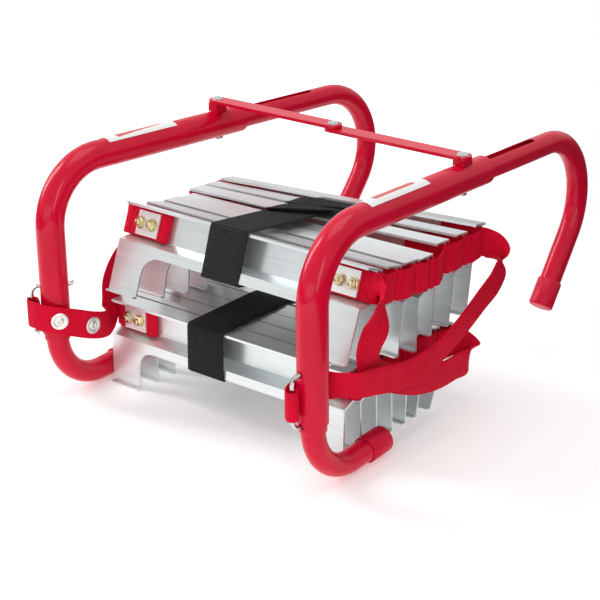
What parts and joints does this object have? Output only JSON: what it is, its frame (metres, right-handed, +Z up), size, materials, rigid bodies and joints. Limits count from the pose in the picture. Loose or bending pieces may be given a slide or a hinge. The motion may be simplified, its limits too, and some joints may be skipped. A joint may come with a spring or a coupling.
{
  "type": "escape rope ladder",
  "caption": "Stowed two-storey fire escape ladder: telescoping tube hooks joined by a folding spreader, with aluminium rungs stacked on folded webbing",
  "frame": {"origin": "middle of the footprint, on the floor the stowed ladder stands on", "axes": "+X from the left hook to the right hook, +Y from the hook uprights towards the hooked ends that go over the sill, +Z up"},
  "size_m": [0.341, 0.4556, 0.2377],
  "materials": {
    "red_paint": "glossy crimson powder coat",
    "red_vinyl": "dipped red vinyl",
    "red_webbing": "woven red nylon webbing",
    "black_webbing": "woven black polypropylene webbing",
    "aluminium": "satin mill-finish extrusion",
    "yellow_zinc": "yellow zinc plate",
    "chrome": "bright plate",
    "sticker": null
  },
  "bodies": {
    "left_hook": {"left_foot_cap": "red_vinyl", "left_foot_tube": "red_paint", "left_hook_strap": "red_webbing", "left_label": "sticker", "left_outer_tube": "red_paint", "left_saddle": "red_paint", "left_slot_bolt": "chrome", "left_strap_ring": "chrome", "left_transfer_strap": "red_webbing", "lower_black_strap": "black_webbing", "lower_left_clamp_nut_1": "yellow_zinc", "lower_left_clamp_nut_2": "yellow_zinc", "lower_left_clamp_plate": "aluminium", "lower_right_clamp_nut_1": "yellow_zinc", "lower_right_clamp_nut_2": "yellow_zinc", "lower_right_clamp_plate": "aluminium", "lower_webbing_left": "red_webbing", "lower_webbing_right": "red_webbing", "right_hook_strap": "red_webbing", "right_transfer_strap": "red_webbing", "rung_01": "aluminium", "rung_02": "aluminium", "rung_03": "aluminium", "rung_04": "aluminium", "rung_05": "aluminium", "rung_06": "aluminium", "rung_07": "aluminium", "rung_08": "aluminium", "rung_09": "aluminium", "rung_10": "aluminium", "rung_11": "aluminium", "rung_12": "aluminium", "rung_13": "aluminium", "rung_14": "aluminium", "snap_cap_1": "chrome", "snap_cap_2": "chrome", "upper_black_strap": "black_webbing", "upper_left_clamp_nut_1": "yellow_zinc", "upper_left_clamp_nut_2": "yellow_zinc", "upper_left_clamp_plate": "aluminium", "upper_right_clamp_nut_1": "yellow_zinc", "upper_right_clamp_nut_2": "yellow_zinc", "upper_right_clamp_plate": "aluminium", "upper_webbing_left": "red_webbing", "upper_webbing_right": "red_webbing"},
    "left_arm": {"left_sliding_arm": "red_paint", "left_tip_cap": "red_vinyl"},
    "spreader_left": {"spreader_bar_left": "red_paint", "spreader_rivet": "chrome"},
    "spreader_right": {"spreader_bar_right": "red_paint"},
    "right_hook": {"right_foot_cap": "red_vinyl", "right_foot_tube": "red_paint", "right_label": "sticker", "right_outer_tube": "red_paint", "right_saddle": "red_paint", "right_slot_bolt": "chrome", "right_strap_ring": "chrome"},
    "right_arm": {"right_sliding_arm": "red_paint", "right_tip_cap": "red_vinyl"}
  },
  "joints": [
    {"name": "spreader_left_pivot", "type": "hinge", "parent": "left_hook", "child": "spreader_left", "pos_m": [-0.13474, 0.00566, 0.23237], "axis": [0, 0, 1], "range_deg": [-6, 6]},
    {"name": "spreader_middle_pivot", "type": "hinge", "parent": "spreader_left", "child": "spreader_right", "pos_m": [0.00278, 0.00351, 0.22907], "axis": [0, 0, 1], "range_deg": [-12, 12]},
    {"name": "spreader_right_pivot", "type": "hinge", "parent": "spreader_right", "child": "right_hook", "pos_m": [0.14029, 0.00137, 0.22907], "axis": [0, 0, 1], "range_deg": [-6, 6]},
    {"name": "left_arm_slide", "type": "slide", "parent": "left_hook", "child": "left_arm", "axis": [0.083, 0.9963, -0.0209], "range_m": [-0.115, 0.017]},
    {"name": "right_arm_slide", "type": "slide", "parent": "right_hook", "child": "right_arm", "axis": [0, 0.9998, -0.0209], "range_m": [-0.097, 0.034]}
  ],
  "couplings": [
    {"joint": "spreader_middle_pivot", "follows": "spreader_left_pivot", "ratio": -2},
    {"joint": "spreader_right_pivot", "follows": "spreader_left_pivot", "ratio": 1}
  ]
}
